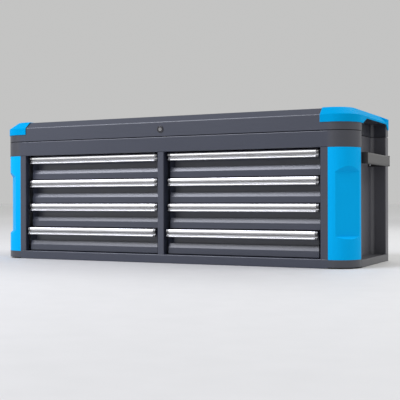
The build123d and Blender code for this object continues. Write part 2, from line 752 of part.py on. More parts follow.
def front_form(skin=0.0):
    """Block form of a drawer front with its pocket; drawn in by the sheet, it is the space behind it."""
    with BuildPart() as form:
        with Locations((0, skin, skin)):
            Box(
                DRAWER_WIDTH - 2 * skin,
                POCKET_DEPTH + DRAWER_SHEET,
                FRONT_HEIGHT - PULL_WALL - 2 * skin,
                align=(Align.CENTER, Align.MIN, Align.MIN),
            )
        add(pocket(skin), mode=Mode.SUBTRACT)
    return form.part


with BuildPart() as drawer_box:
    add(front_form())
    add(front_form(DRAWER_SHEET), mode=Mode.SUBTRACT)
    floor_align = (Align.CENTER, Align.MIN, Align.MIN)
    with Locations((0, 0, DRAWER_LIFT)):
        Box(DRAWER_WIDTH, DRAWER_DEPTH, DRAWER_SHEET, align=floor_align)
    wall_height = DRAWER_WALL - DRAWER_LIFT
    wall_start = POCKET_DEPTH
    with Locations((DRAWER_WIDTH / 2, wall_start, DRAWER_LIFT)):
        Box(DRAWER_SHEET, DRAWER_DEPTH - wall_start, wall_height, align=(Align.MAX, Align.MIN, Align.MIN))
    with Locations((-DRAWER_WIDTH / 2, wall_start, DRAWER_LIFT)):
        Box(DRAWER_SHEET, DRAWER_DEPTH - wall_start, wall_height, align=Align.MIN)
    with Locations((0, DRAWER_DEPTH, DRAWER_LIFT)):
        Box(DRAWER_WIDTH, DRAWER_SHEET, wall_height, align=(Align.CENTER, Align.MAX, Align.MIN))


def pull_form(length, start):
    """Clip, rounded nose and grooved bar of a pull, or of its end piece, along X from a start."""
    clip = POCKET_DEPTH + DRAWER_SHEET
    flange = FRONT_HEIGHT - PULL_WALL
    nose = FRONT_HEIGHT - PULL_NOSE
    nose_rear = PULL_NOSE_DEPTH - PULL_REACH
    foot = FRONT_HEIGHT - PULL_HEIGHT
    lip = foot + PULL_LIP
    lip_end = PULL_LIP_ROUND - PULL_REACH
    rear = PULL_BAR - PULL_REACH
    with BuildPart() as form:
        with BuildSketch(Plane.YZ.offset(start)):
            with BuildLine():
                Polyline((clip + PULL_WALL, FRONT_HEIGHT), (nose_rear, FRONT_HEIGHT))
                EllipticalCenterArc((nose_rear, nose), PULL_NOSE_DEPTH, PULL_NOSE, 90, arc_size=90)
                ThreePointArc(
                    (-PULL_REACH, nose),
                    (PULL_GROOVE - PULL_REACH, (nose + lip) / 2),
                    (-PULL_REACH, lip),
                )
                Polyline((-PULL_REACH, lip), (-PULL_REACH, foot + PULL_LIP_ROUND))
                RadiusArc((-PULL_REACH, foot + PULL_LIP_ROUND), (lip_end, foot), -PULL_LIP_ROUND)
                Polyline(
                    (lip_end, foot),
                    (rear, foot),
                    (rear, flange),
                    (clip, flange),
                    (clip, flange - PULL_CLIP),
                    (clip + PULL_WALL, flange - PULL_CLIP),
                    (clip + PULL_WALL, FRONT_HEIGHT),
                )
            make_face()
        extrude(amount=length)
    return form.part


with BuildPart() as drawer_pull:
    add(pull_form(DRAWER_WIDTH - 2 * PULL_CAP, PULL_CAP - DRAWER_WIDTH / 2))

with BuildPart() as pull_caps:
    add(pull_form(PULL_CAP, -DRAWER_WIDTH / 2))
    add(pull_form(PULL_CAP, DRAWER_WIDTH / 2 - PULL_CAP))

FACE_Y = FRONT + PULL_SETBACK + PULL_REACH
RUNNER_START = FRONT + RUNNER_SETBACK
INNER_HEIGHT = RUNNER_HEIGHT - 2 * (SHEET + FIT)

with BuildPart() as drawer_runners:
    run_side = DRAWER_WIDTH / 2
    tip = run_side + RUNNER_DEPTH - SHEET
    channel = [
        (tip, RUNNER_RISE - INNER_HEIGHT / 2),
        (run_side, RUNNER_RISE - INNER_HEIGHT / 2),
        (run_side, RUNNER_RISE + INNER_HEIGHT / 2),
        (tip, RUNNER_RISE + INNER_HEIGHT / 2),
    ]
    section = folded(across(RUNNER_START - FACE_Y), channel, 0, side=Side.RIGHT)
    extrude(section, amount=-RUNNER_LENGTH)
    mirror(about=Plane.YZ)

with BuildPart() as drawer_guides:
    wall = OPENING_WIDTH / 2
    channel = [
        (wall - RUNNER_DEPTH, RUNNER_RISE - RUNNER_HEIGHT / 2),
        (wall, RUNNER_RISE - RUNNER_HEIGHT / 2),
        (wall, RUNNER_RISE + RUNNER_HEIGHT / 2),
        (wall - RUNNER_DEPTH, RUNNER_RISE + RUNNER_HEIGHT / 2),
    ]
    section = folded(across(RUNNER_START - FACE_Y), channel, 0)
    extrude(section, amount=-RUNNER_LENGTH)
    mirror(about=Plane.YZ)

guide_copies = []
for column, side in (("left", -1), ("right", 1)):
    for row in range(1, ROWS + 1):
        middle = side * (CENTRE_POST + OPENING_WIDTH) / 2
        low = BOTTOM_RAIL + DRAWER_GAP + (ROWS - row) * PITCH
        ajar = AJAR if row == ROWS else 0
        place = Location((middle, FACE_Y - ajar, low))
        drawer = f"{column}_drawer_{row}"
        write(f"{drawer}_box", drawer_box.part.moved(place))
        write(f"{drawer}_pull", drawer_pull.part.moved(place))
        write(f"{drawer}_pull_caps", pull_caps.part.moved(place))
        write(f"{drawer}_runners", drawer_runners.part.moved(place))
        guide_copies.append(drawer_guides.part.moved(Location((middle, FACE_Y, low))))

with BuildPart() as fixed_runners:
    for guide in guide_copies:
        add(guide)

write("fixed_runners", fixed_runners.part)

print("strut leans", round(degrees(atan2(STRUT_DIRECTION[2], -STRUT_DIRECTION[1])), 3), "degrees")
print("strut length", round(STRUT_LENGTH, 3), "hinge axis", HINGE_Y, HINGE_Z, "strut foot", FOOT_Y, FOOT_Z)
print("lock axis", LOCK_Z, "drawer pitch", PITCH, "front plane", FRONT, "back plane", BACK)
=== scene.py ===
# %% [markdown]
# # A wide tool chest
# The chest is a folded steel carcass with two columns of drawers, a hinged lid and moulded blue corners. The CAD
# frame already holds every working piece at its real size and place, so this lesson only dresses it: finishes for
# what the frame shows well, and finer pieces where a plain solid is too hard-edged. Everything is in metres, in the
# frame's own axes: +X to the right, -Y out of the drawer fronts, +Z up.

# %% Load the frame
import json
import math

import bmesh
import bpy
from mathutils import Matrix, Vector

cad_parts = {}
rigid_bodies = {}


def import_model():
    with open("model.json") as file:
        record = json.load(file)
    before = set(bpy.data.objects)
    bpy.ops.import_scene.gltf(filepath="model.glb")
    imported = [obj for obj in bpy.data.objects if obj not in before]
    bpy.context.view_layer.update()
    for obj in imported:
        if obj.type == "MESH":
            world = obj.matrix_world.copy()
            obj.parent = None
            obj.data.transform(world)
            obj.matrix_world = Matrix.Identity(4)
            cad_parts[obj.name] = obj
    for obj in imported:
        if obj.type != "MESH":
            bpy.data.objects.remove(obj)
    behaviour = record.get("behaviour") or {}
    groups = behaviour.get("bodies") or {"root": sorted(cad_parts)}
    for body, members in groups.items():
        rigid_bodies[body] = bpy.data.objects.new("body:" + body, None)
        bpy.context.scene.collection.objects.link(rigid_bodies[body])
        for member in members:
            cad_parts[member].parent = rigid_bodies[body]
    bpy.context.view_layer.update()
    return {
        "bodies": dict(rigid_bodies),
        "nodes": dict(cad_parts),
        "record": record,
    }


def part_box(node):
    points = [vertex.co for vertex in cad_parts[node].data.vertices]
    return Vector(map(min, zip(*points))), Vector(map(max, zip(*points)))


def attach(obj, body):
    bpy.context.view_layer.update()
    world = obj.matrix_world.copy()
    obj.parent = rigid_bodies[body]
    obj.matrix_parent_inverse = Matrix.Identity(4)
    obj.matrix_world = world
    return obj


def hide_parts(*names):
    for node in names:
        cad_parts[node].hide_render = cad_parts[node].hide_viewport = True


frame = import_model()
DRAWERS = sorted(body for body in frame["bodies"] if "_drawer_" in body)

# %% [markdown]
# ## Camera
# The picture was taken from low down and a long way off, to the right of the middle. A camera object can be aimed
# with a constraint, but the angles are known here, so three turns are multiplied: roll about the view, tilt up from
# looking straight down, and yaw about the upright axis. The plain Standard view keeps the blue as strong as it is.

# %% Camera
PICTURE_PIXELS = 400
FOCAL_PIXELS = 858.2
SENSOR_WIDTH = 36.0
VIEWPOINT = (1.3746, -2.7155, 0.2115)
YAW, PITCH_DOWN, ROLL = 26.115, 0.037, -0.135

lens = bpy.data.cameras.new("showroom_camera")
lens.sensor_width = SENSOR_WIDTH
lens.lens = FOCAL_PIXELS * SENSOR_WIDTH / PICTURE_PIXELS
camera = bpy.data.objects.new("showroom_camera", lens)
bpy.context.scene.collection.objects.link(camera)
aim = Matrix.Rotation(math.radians(YAW), 4, "Z")
aim = aim @ Matrix.Rotation(math.radians(90 - PITCH_DOWN), 4, "X")
aim = aim @ Matrix.Rotation(math.radians(ROLL), 4, "Z")
camera.matrix_world = Matrix.Translation(VIEWPOINT) @ aim
bpy.context.scene.camera = camera
bpy.context.scene.view_settings.view_transform = "Standard"
print("camera: lens", round(lens.lens, 2), "mm")

# %% [markdown]
# ## Node trees as expressions
# A finish is a tree of shader nodes, and what repeats on the chest is a tree of geometry nodes. Wiring either by hand
# takes many lines. Here a small class wraps a socket and overloads the arithmetic operators, so that
# `0.4 + 0.1 * cloud` adds the Math nodes by itself. Every other node comes from one method, `node`, which sets a
# node's options first and then fills or links its sockets.


# %% Node helper
class Channel:
    """A node's socket that can be used in Python arithmetic."""

    def __init__(self, graph, socket):
        self.graph = graph
        self.socket = socket

    def also(self, output):
        """Another output of the same node."""
        return Channel(self.graph, self.socket.node.outputs[output])

    def _maths(self, operation, first, second):
        return self.graph.node("ShaderNodeMath", {"operation": operation}, {0: first, 1: second})

    def __add__(self, other):
        return self._maths("ADD", self, other)

    def __radd__(self, other):
        return self._maths("ADD", other, self)

    def __sub__(self, other):
        return self._maths("SUBTRACT", self, other)

    def __rsub__(self, other):
        return self._maths("SUBTRACT", other, self)

    def __mul__(self, other):
        return self._maths("MULTIPLY", self, other)

    def __rmul__(self, other):
        return self._maths("MULTIPLY", other, self)

    def __truediv__(self, other):
        return self._maths("DIVIDE", self, other)

    def __rtruediv__(self, other):
        return self._maths("DIVIDE", other, self)


class Graph:
    """A node tree, built one node at a time."""

    def __init__(self, tree):
        self.tree = tree
        self.tree.nodes.clear()

    def node(self, kind, settings=None, sockets=None, output=0):
        """Add a node, set its options, fill or link its sockets and return one of its outputs."""
        made = self.tree.nodes.new(kind)
        for key, value in (settings or {}).items():
            setattr(made, key, value)
        for key, value in (sockets or {}).items():
            for item in value if isinstance(value, list) else [value]:
                if isinstance(item, Channel):
                    self.tree.links.new(item.socket, made.inputs[key])
                else:
                    made.inputs[key].default_value = item
        return Channel(self, made.outputs[output]) if len(made.outputs) else None


print("node helper ready")

# %% [markdown]
# ## Finishes
# Every finish on the chest is made in the same way: a pattern is read at a point of the object, it mixes two tones
# and moves the gloss, and a Principled shader closes the tree. A class with a method for each of these steps keeps a
# finish down to a few lines. The Mix node has its sockets for numbers, vectors and colours side by side, so those for
# colours are picked by number.

# %% Finish helper
MIX_FACTOR, MIX_FIRST, MIX_SECOND, MIX_RESULT = 0, 6, 7, 2


class Finish(Graph):
    """A procedural material."""

    def __init__(self, name):
        self.material = bpy.data.materials.new(name)
        self.material.use_nodes = True
        super().__init__(self.material.node_tree)

    def place(self, stretch=(1.0, 1.0, 1.0)):
        """Object coordinates, squeezed along each axis."""
        where = self.node("ShaderNodeTexCoord", output="Object")
        return self.node("ShaderNodeMapping", {}, {"Vector": where, "Scale": stretch})

    def noise(self, where, scale, detail=2.0):
        """Noise with a number of swells to the metre."""
        return self.node("ShaderNodeTexNoise", {}, {"Vector": where, "Scale": scale, "Detail": detail})

    def blend(self, factor, first, second):
        """Mix of two colours."""
        first, second = [c if isinstance(c, Channel) else (*c, 1.0) for c in (first, second)]
        sockets = {MIX_FACTOR: factor, MIX_FIRST: first, MIX_SECOND: second}
        return self.node("ShaderNodeMix", {"data_type": "RGBA"}, sockets, output=MIX_RESULT)

    def relief(self, height, depth, strength):
        """Bumps of a depth in metres."""
        return self.node("ShaderNodeBump", {}, {"Height": height, "Distance": depth, "Strength": strength})

    def surface(self, **named):
        """Close the graph with a Principled shader; underscores stand for the spaces in socket names."""
        sockets = {key.replace("_", " "): value for key, value in named.items()}
        shader = self.node("ShaderNodeBsdfPrincipled", {}, sockets)
        self.node("ShaderNodeOutputMaterial", {}, {"Surface": shader})
        return self.material


print("finish helper ready")

# %% [markdown]
# ## Powder coat
# The steel has one powder coat: a satin skin with a faint orange peel. Its tone changes from part to part as painted
# light and shade: bluer and darker on the drawer fronts and rails, a little lighter on the divider, greyer and
# lighter on the rest of the body, lighter still in the side recesses. On the lid and the posts one tone runs into the
# other round the corner. A flat colour would look like paper under a soft light, and a scanned one would need a
# picture file, so slow noise shifts the tone and the gloss a little, and a fine noise feeds the bump.

# %% Powder coat
# Between these distances from the middle the corner tones take over: painted light round the corners.
CORNER_FROM, CORNER_TO = 0.572, 0.592
COAT_CLOUD, COAT_PEEL = 2.5, 420.0
PEEL_DEPTH, PEEL_STRENGTH = 0.00012, 0.25


def powder_coat(name, tones, gloss, corner=None):
    """Satin powder coat between two tones, with two more round the corners of the front, where given, as painted
    light.
    """
    paint = Finish(name)
    where = paint.place()
    cloud = paint.noise(where, COAT_CLOUD, 3.0)
    peel = paint.noise(where, COAT_PEEL, 1.0)
    colour = paint.blend(cloud, *tones)
    if corner:
        across = paint.node("ShaderNodeSeparateXYZ", {}, {"Vector": where})
        away = paint.node("ShaderNodeMath", {"operation": "ABSOLUTE"}, {0: across})
        limits = {"Value": away, "From Min": CORNER_FROM, "From Max": CORNER_TO}
        lit_corner_mask = paint.node("ShaderNodeMapRange", {}, limits)
        colour = paint.blend(lit_corner_mask, colour, paint.blend(cloud, *corner))
    return paint.surface(
        Base_Color=colour,
        Roughness=gloss + 0.06 * cloud + 0.04 * peel,
        Normal=paint.relief(peel, PEEL_DEPTH, PEEL_STRENGTH),
        Specular_IOR_Level=0.8,
    )


# Each pair is the same paint as it looks under the light on that part: painted light and shade, not another paint.
FRONT_LIT_TONES = (0.024, 0.029, 0.050), (0.029, 0.035, 0.059)
CORNER_LIT_TONES = (0.032, 0.034, 0.046), (0.038, 0.040, 0.054)
DIVIDER_LIT_TONES = (0.036, 0.041, 0.064), (0.042, 0.048, 0.074)
BODY_LIT_TONES = (0.053, 0.053, 0.062), (0.063, 0.063, 0.073)
RECESS_LIT_TONES = (0.070, 0.070, 0.084), (0.082, 0.082, 0.097)
BLACK_TONES = (0.012, 0.012, 0.013), (0.018, 0.018, 0.019)

FRONT_LIT_COAT = powder_coat("front_powder_coat", FRONT_LIT_TONES, gloss=0.26)
FRAME_LIT_COAT = powder_coat("frame_powder_coat", FRONT_LIT_TONES, gloss=0.30, corner=CORNER_LIT_TONES)
DIVIDER_LIT_COAT = powder_coat("divider_powder_coat", DIVIDER_LIT_TONES, gloss=0.28)
BODY_LIT_COAT = powder_coat("body_powder_coat", BODY_LIT_TONES, gloss=0.36)
RECESS_LIT_COAT = powder_coat("recess_powder_coat", RECESS_LIT_TONES, gloss=0.36)
BLACK_COAT = powder_coat("strut_black_paint", BLACK_TONES, gloss=0.30)
coats = (FRONT_LIT_COAT, FRAME_LIT_COAT, DIVIDER_LIT_COAT, BODY_LIT_COAT, RECESS_LIT_COAT, BLACK_COAT)
print("powder coats:", ", ".join(coat.name for coat in coats))

# %% [markdown]
# ## Mouldings
# The corner guards, lid ends, handles and pull ends are moulded plastic. A mould leaves a fine spark-eroded grain. To
# model the pits would take millions of faces, so a small noise for the bump stands for them, and a soft one shifts
# the tone. Only the colours and the gloss differ: the ends of the pulls are polished, the rest is matt. The lid's
# ends are the guards' blue plastic, made a deeper blue as painted shade.

# %% Mouldings
MOULD_CLOUD, MOULD_PITS, PIT_STRENGTH = 6.0, 1100.0, 0.2


def moulding(name, tones, gloss, grain, index=1.2):
    """Moulded plastic with a grain of a given depth; a higher refractive index gives more sheen."""
    plastic = Finish(name)
    where = plastic.place()
    cloud = plastic.noise(where, MOULD_CLOUD)
    pits = plastic.noise(where, MOULD_PITS, 1.0)
    return plastic.surface(
        Base_Color=plastic.blend(cloud, *tones),
        Roughness=gloss + 0.06 * cloud + 0.05 * pits,
        Normal=plastic.relief(pits, grain, PIT_STRENGTH),
        IOR=index,
    )


GUARD_TONES = (0.0, 0.372, 0.775), (0.0, 0.398, 0.828)
# The lid's ends: the guards' blue, darkened as painted shade.
CAP_SHADED_TONES = (0.0, 0.290, 0.605), (0.0, 0.312, 0.648)
DARK_TONES = (0.022, 0.022, 0.024), (0.030, 0.029, 0.031)
PULL_END_TONES = (0.018, 0.018, 0.022), (0.024, 0.024, 0.028)
GREY_TONES = (0.118, 0.117, 0.117), (0.142, 0.141, 0.140)

BLUE_MOULDING = moulding("blue_moulding", GUARD_TONES, gloss=0.44, grain=0.00006, index=1.12)
CAP_SHADED_MOULDING = moulding("cap_moulding", CAP_SHADED_TONES, gloss=0.44, grain=0.00006, index=1.06)
DARK_MOULDING = moulding("dark_moulding", DARK_TONES, gloss=0.46, grain=0.0001)
END_MOULDING = moulding("pull_end_moulding", PULL_END_TONES, gloss=0.20, grain=0.00003, index=2.2)
GREY_MOULDING = moulding("grey_moulding", GREY_TONES, gloss=0.50, grain=0.0001)
plastics = (BLUE_MOULDING, CAP_SHADED_MOULDING, DARK_MOULDING, END_MOULDING, GREY_MOULDING)
print("mouldings:", ", ".join(plastic.name for plastic in plastics))

# %% [markdown]
# ## Bare metals
# The pulls are extruded aluminium, so their fine lines run along X. The shader's own anisotropy stretches only the
# highlight, so the lines are drawn by noise that is squeezed across them. The groove of the grip is darkened as
# painted shade and made rougher: a value called `hollow`, carried by the mesh itself, sets how much. The runners and
# the hinge are zinc-plated steel, which is mottled instead. The lock is plated too, grey on the plug and nearly black
# round it.

# %% Bare metals
DRAWN_LINES, LINE_DEPTH, LINE_STRENGTH = (3.0, 700.0, 700.0), 0.000006, 0.2
MOTTLE_PATCH = 90.0


def drawn_metal(name, tones, groove_shade, gloss):
    """Metal with fine lines along X, as an extrusion has, and a groove darkened as painted shade."""
    metal = Finish(name)
    lines = metal.noise(metal.place(DRAWN_LINES), 1.0)
    hollow = metal.node("ShaderNodeAttribute", {"attribute_name": "hollow"}, output="Fac")
    return metal.surface(
        Base_Color=metal.blend(hollow, metal.blend(lines, *tones), groove_shade),
        Roughness=gloss + 0.08 * lines + 0.10 * hollow,
        Normal=metal.relief(lines, LINE_DEPTH, LINE_STRENGTH),
        Metallic=1.0,
    )


def plated_metal(name, tones, gloss, mottle):
    """Plated metal whose gloss changes in small patches."""
    metal = Finish(name)
    patch = metal.noise(metal.place(), MOTTLE_PATCH)
    return metal.surface(
        Base_Color=metal.blend(patch, *tones),
        Roughness=gloss + mottle * patch,
        Metallic=1.0,
    )


# The last tone is painted shade, laid into the groove of each pull.
PULL_TONES, PULL_GROOVE_SHADE = ((0.64, 0.64, 0.66), (0.70, 0.70, 0.71)), (0.20, 0.20, 0.20)
ZINC_TONES = (0.52, 0.53, 0.54), (0.64, 0.65, 0.66)
PLUG_TONES = (0.42, 0.42, 0.44), (0.52, 0.52, 0.54)
HOUSING_TONES = (0.06, 0.06, 0.07), (0.09, 0.09, 0.10)

PULL_METAL = drawn_metal("pull_aluminium", PULL_TONES, PULL_GROOVE_SHADE, gloss=0.24)
ZINC = plated_metal("zinc_plate", ZINC_TONES, gloss=0.26, mottle=0.16)
CHROME = plated_metal("lock_chrome", PLUG_TONES, gloss=0.12, mottle=0.06)
BLACK_CHROME = plated_metal("lock_black_chrome", HOUSING_TONES, gloss=0.20, mottle=0.10)
print("metals:", ", ".join(metal.name for metal in (PULL_METAL, ZINC, CHROME, BLACK_CHROME)))

# %% [markdown]
# ## Painting the frame
# A CAD node whose shape is right stays, and only its material changes. Each could be painted by name, but the record
# says which finish a node has, so a small table from finish to material paints nearly all. A second table names the
# nodes that differ: the rails take the bluer coat of the front, the lid's ends a deeper blue, the brackets a black.
# The tones of the one paint, and the lid's deeper blue, are painted light and shade as it falls on each part.

# %% Paint the frame
COAT_OF_SLOT = {
    "body_paint": BODY_LIT_COAT,
    "drawer_paint": FRONT_LIT_COAT,
    "blue_plastic": BLUE_MOULDING,
    "pull_aluminium": PULL_METAL,
    "dark_plastic": DARK_MOULDING,
    "grey_plastic": GREY_MOULDING,
    "zinc_steel": ZINC,
    "lock_chrome": CHROME,
    "strut_black": BLACK_COAT,
}
# The coats and the lid ends' blue here are painted light and shade; the lock, bracket and pull-end finishes are their
# own.
COAT_OF_NODE = {
    "top_rail": FRONT_LIT_COAT,
    "bottom_rail": FRONT_LIT_COAT,
    "centre_divider": DIVIDER_LIT_COAT,
    "lid_shell": FRAME_LIT_COAT,
    "left_front_post": FRAME_LIT_COAT,
    "right_front_post": FRAME_LIT_COAT,
    "left_side_panel": RECESS_LIT_COAT,
    "right_side_panel": RECESS_LIT_COAT,
    "left_lid_cap": CAP_SHADED_MOULDING,
    "right_lid_cap": CAP_SHADED_MOULDING,
    "lock_housing": BLACK_CHROME,
    "body_brackets": BLACK_COAT,
    "lid_brackets": BLACK_COAT,
}
COAT_OF_NODE.update({drawer + "_pull_caps": END_MOULDING for drawer in DRAWERS})
SLOT_OF_NODE = {part["node"]: part["material_slot"] for part in frame["record"]["subparts"]}
BODY_OF_NODE = {node: body for body, nodes in frame["record"]["behaviour"]["bodies"].items() for node in nodes}


def coat_of(node):
    """Material for a CAD node, or for a piece that stands for it."""
    return COAT_OF_NODE.get(node) or COAT_OF_SLOT[SLOT_OF_NODE[node]]


for node, solid in frame["nodes"].items():
    solid.data.materials.clear()
    solid.data.materials.append(coat_of(node))
print("painted", len(frame["nodes"]), "nodes,", len(COAT_OF_NODE), "of them by name")

# %% [markdown]
# ## Softer edges
# Pressed sheet and mouldings have no knife edges: each edge is rounded and catches a thin line of light. The Bevel
# modifier does that, but only on joined faces, and a CAD mesh is loose triangles. So a copy is merged, its flat faces
# are dissolved back into one face each, and the bevelled result stands for the node. Smooth shading would tilt the
# light on a large face towards its rounded edges, so a Weighted Normal modifier lets the largest faces rule.

# %% Piece helpers
MERGE_WITHIN = 0.000004
FLAT_WITHIN, SHARP_OVER = math.radians(0.5), math.radians(28.0)


def as_piece(name, mesh, material):
    """A new object at the origin that holds a mesh with one material."""
    mesh.materials.clear()
    mesh.materials.append(material)
    piece = bpy.data.objects.new(name, mesh)
    bpy.context.scene.collection.objects.link(piece)
    return piece


def settle(piece):
    """Turn a piece with modifiers into a plain mesh."""
    graph = bpy.context.evaluated_depsgraph_get()
    mesh = bpy.data.meshes.new_from_object(piece.evaluated_get(graph), depsgraph=graph)
    piece.modifiers.clear()
    old = piece.data
    piece.data = mesh
    bpy.data.meshes.remove(old)
    return piece


def smooth(mesh):
    """Smooth shading, with creases where faces meet at a sharp angle."""
    mesh.polygons.foreach_set("use_smooth", [True] * len(mesh.polygons))
    mesh.set_sharp_from_angle(angle=SHARP_OVER)


def stand_in(piece, node):
    """Let a piece ride on a node's body and stand for it."""
    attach(piece, BODY_OF_NODE[node])
    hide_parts(node)
    return piece


def merged_copy(node):
    """A node's triangles joined up, with its flat faces whole again."""
    shape = bmesh.new()
    shape.from_mesh(frame["nodes"][node].data)
    bmesh.ops.remove_doubles(shape, verts=shape.verts, dist=MERGE_WITHIN)
    bmesh.ops.dissolve_limit(shape, angle_limit=FLAT_WITHIN, verts=shape.verts, edges=shape.edges)
    return shape


print("piece helpers ready")


# %% Softened copies
def softened(node, radius, shape=None):
    """A copy of a CAD node with rounded edges, which stands for the node."""
    shape = shape or merged_copy(node)
    mesh = bpy.data.meshes.new(node)
    shape.to_mesh(mesh)
    shape.free()
    smooth(mesh)
    piece = as_piece("soft_" + node, mesh, coat_of(node))
    edges = piece.modifiers.new("edges", "BEVEL")
    edges.width = radius
    edges.segments = 2
    edges.limit_method = "ANGLE"
    edges.angle_limit = SHARP_OVER
    flats = piece.modifiers.new("flats", "WEIGHTED_NORMAL")
    flats.weight = 100
    flats.keep_sharp = True
    settle(piece)
    return stand_in(piece, node)


EDGE_ROUNDS = {
    "left_corner_guard": 0.0012,
    "right_corner_guard": 0.0012,
    "left_lid_cap": 0.0009,
    "right_lid_cap": 0.0009,
    "handle_brackets": 0.0012,
    "handle_grips": 0.0008,
    "lock_housing": 0.0004,
    "lock_plug": 0.0003,
}
EDGE_ROUNDS.update({drawer + "_pull_caps": 0.0005 for drawer in DRAWERS})
for node, radius in EDGE_ROUNDS.items():
    softened(node, radius)
print("softened", len(EDGE_ROUNDS), "nodes")

# %% [markdown]
# ## Drawer fronts
# A drawer front is one pressed sheet: a flat strip at its foot bends into the finger pocket above. The bend is wider
# than the sheet's other edges. One Bevel modifier has one width, so this edge is found by its place and rounded
# first, by itself, and the rest follow as before.

# %% Drawer fronts
FRONT_STRIP = 0.0195
POCKET_BEND, BEND_STEPS = 0.0008, 3
SHEET_EDGE = 0.0004
NEAR = 0.0003


def drawer_front_bend(shape, node):
    """Round the long edge between a drawer front's flat strip and its finger pocket."""
    low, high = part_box(node)
    level, half_width = low[2] + FRONT_STRIP, (high[0] - low[0]) / 2

    def on_bend(edge):
        near = all(abs(v.co.z - level) < NEAR and v.co.y - low[1] < NEAR for v in edge.verts)
        return near and edge.calc_length() > half_width

    bends = [edge for edge in shape.edges if on_bend(edge)]
    bmesh.ops.bevel(shape, geom=bends, offset=POCKET_BEND, segments=BEND_STEPS, profile=0.5, affect="EDGES")
    return len(bends)


bends_made = 0
for drawer in DRAWERS:
    front = merged_copy(drawer + "_box")
    bends_made += drawer_front_bend(front, drawer + "_box")
    softened(drawer + "_box", SHEET_EDGE, front)
print("rounded", bends_made, "pocket bends on", len(DRAWERS), "drawers")

# %% [markdown]
# ## Geometry recipes
# What is pushed through a die or set out along a line is easier to give as a rule than to model by hand. A recipe is
# a Geometry Nodes tree with named sizes. It takes a few points, returns a finished shape with its material, and the
# result is kept as a plain mesh.


# %% Recipe helper
class Recipe(Graph):
    """A Geometry Nodes tree with named sizes."""

    def __init__(self, name, **sizes):
        super().__init__(bpy.data.node_groups.new(name, "GeometryNodeTree"))
        faces = self.tree.interface
        faces.new_socket("Geometry", in_out="INPUT", socket_type="NodeSocketGeometry")
        faces.new_socket("Geometry", in_out="OUTPUT", socket_type="NodeSocketGeometry")
        self.keys = {}
        for label, value in sizes.items():
            socket = faces.new_socket(label, in_out="INPUT", socket_type="NodeSocketFloat")
            socket.default_value = value
            self.keys[label] = socket.identifier
        entry = self.tree.nodes.new("NodeGroupInput")
        self.given = {socket.name: Channel(self, socket) for socket in entry.outputs if socket.name}

    def vector(self, x=0.0, y=0.0, z=0.0):
        """Vector of three values."""
        return self.node("ShaderNodeCombineXYZ", {}, {"X": x, "Y": y, "Z": z})

    def moved(self, shape, way):
        """A shape moved by a vector."""
        return self.node("GeometryNodeTransform", {}, {"Geometry": shape, "Translation": way})

    def close(self, shape, material):
        """End the tree with real geometry and its material."""
        real = self.node("GeometryNodeRealizeInstances", {}, {"Geometry": shape})
        dressed = self.node("GeometryNodeSetMaterial", {}, {"Geometry": real, "Material": material})
        self.node("NodeGroupOutput", {}, {0: dressed})

    def make(self, name, mesh, **values):
        """Run the tree on a mesh of points and keep the result as a plain mesh."""
        piece = bpy.data.objects.new(name, mesh)
        bpy.context.scene.collection.objects.link(piece)
        rule = piece.modifiers.new("rule", "NODES")
        rule.node_group = self.tree
        for label, value in values.items():
            rule[self.keys[label]] = value
        settle(piece)
        smooth(piece.data)
        return piece


print("recipe helper ready")

# %% [markdown]
# ## Extruded pulls
# Each drawer opens by an aluminium extrusion that is clipped over the top of its front. A solid could be cut and
# rounded, but a loop of points says the section at once, and Curve to Mesh sweeps it along a line as the die does. A
# sweep along +X turns its section by half a turn, so the loop is stored turned back. The groove's points carry the
# value `hollow` for the finish.

# %% Pull recipe
pull_recipe = Recipe("extruded_pull", Middle=0.0, Width=0.5)
middle, half = pull_recipe.given["Middle"], 0.5 * pull_recipe.given["Width"]
loop = pull_recipe.node("GeometryNodeMeshToCurve", {}, {"Mesh": pull_recipe.given["Geometry"]})
ends = {"Start": pull_recipe.vector(middle - half), "End": pull_recipe.vector(middle + half)}
line = pull_recipe.node("GeometryNodeCurvePrimitiveLine", {}, ends)
sweep = {"Curve": line, "Profile Curve": loop, "Fill Caps": True}
pull_recipe.close(pull_recipe.node("GeometryNodeCurveToMesh", {}, sweep), PULL_METAL)
print("pull recipe:", len(pull_recipe.tree.nodes), "nodes")

# %% Pull section
PULL_REACH = 0.017                               # in front of the drawer's face
PULL_TOP, PULL_FOOT = 0.0815, 0.055              # above the drawer front's lower edge
NOSE, NOSE_DEPTH = 0.011, 0.0055                 # height and depth of the rounded top
BAR, GROOVE = 0.008, 0.004                       # thickness of the bar and depth of its groove
LIP, LIP_ROUND, LIP_EDGE = 0.005, 0.003, 0.002   # height of the lip and its two roundings
WALL, CLIP_AT, CLIP_DROP = 0.002, 0.025, 0.006   # the flange that hooks over the drawer's front
NOSE_STEPS, GROOVE_STEPS, LIP_STEPS = 16, 12, 6


def arc(centre, radius, start, end, steps, squash=1.0):
    """Points on an arc, by its centre, radius and angles in degrees; squash narrows it to part of an ellipse."""
    turns = [math.radians(start + (end - start) * k / steps) for k in range(steps + 1)]
    return [(centre[0] + squash * radius * math.cos(t), centre[1] + radius * math.sin(t)) for t in turns]


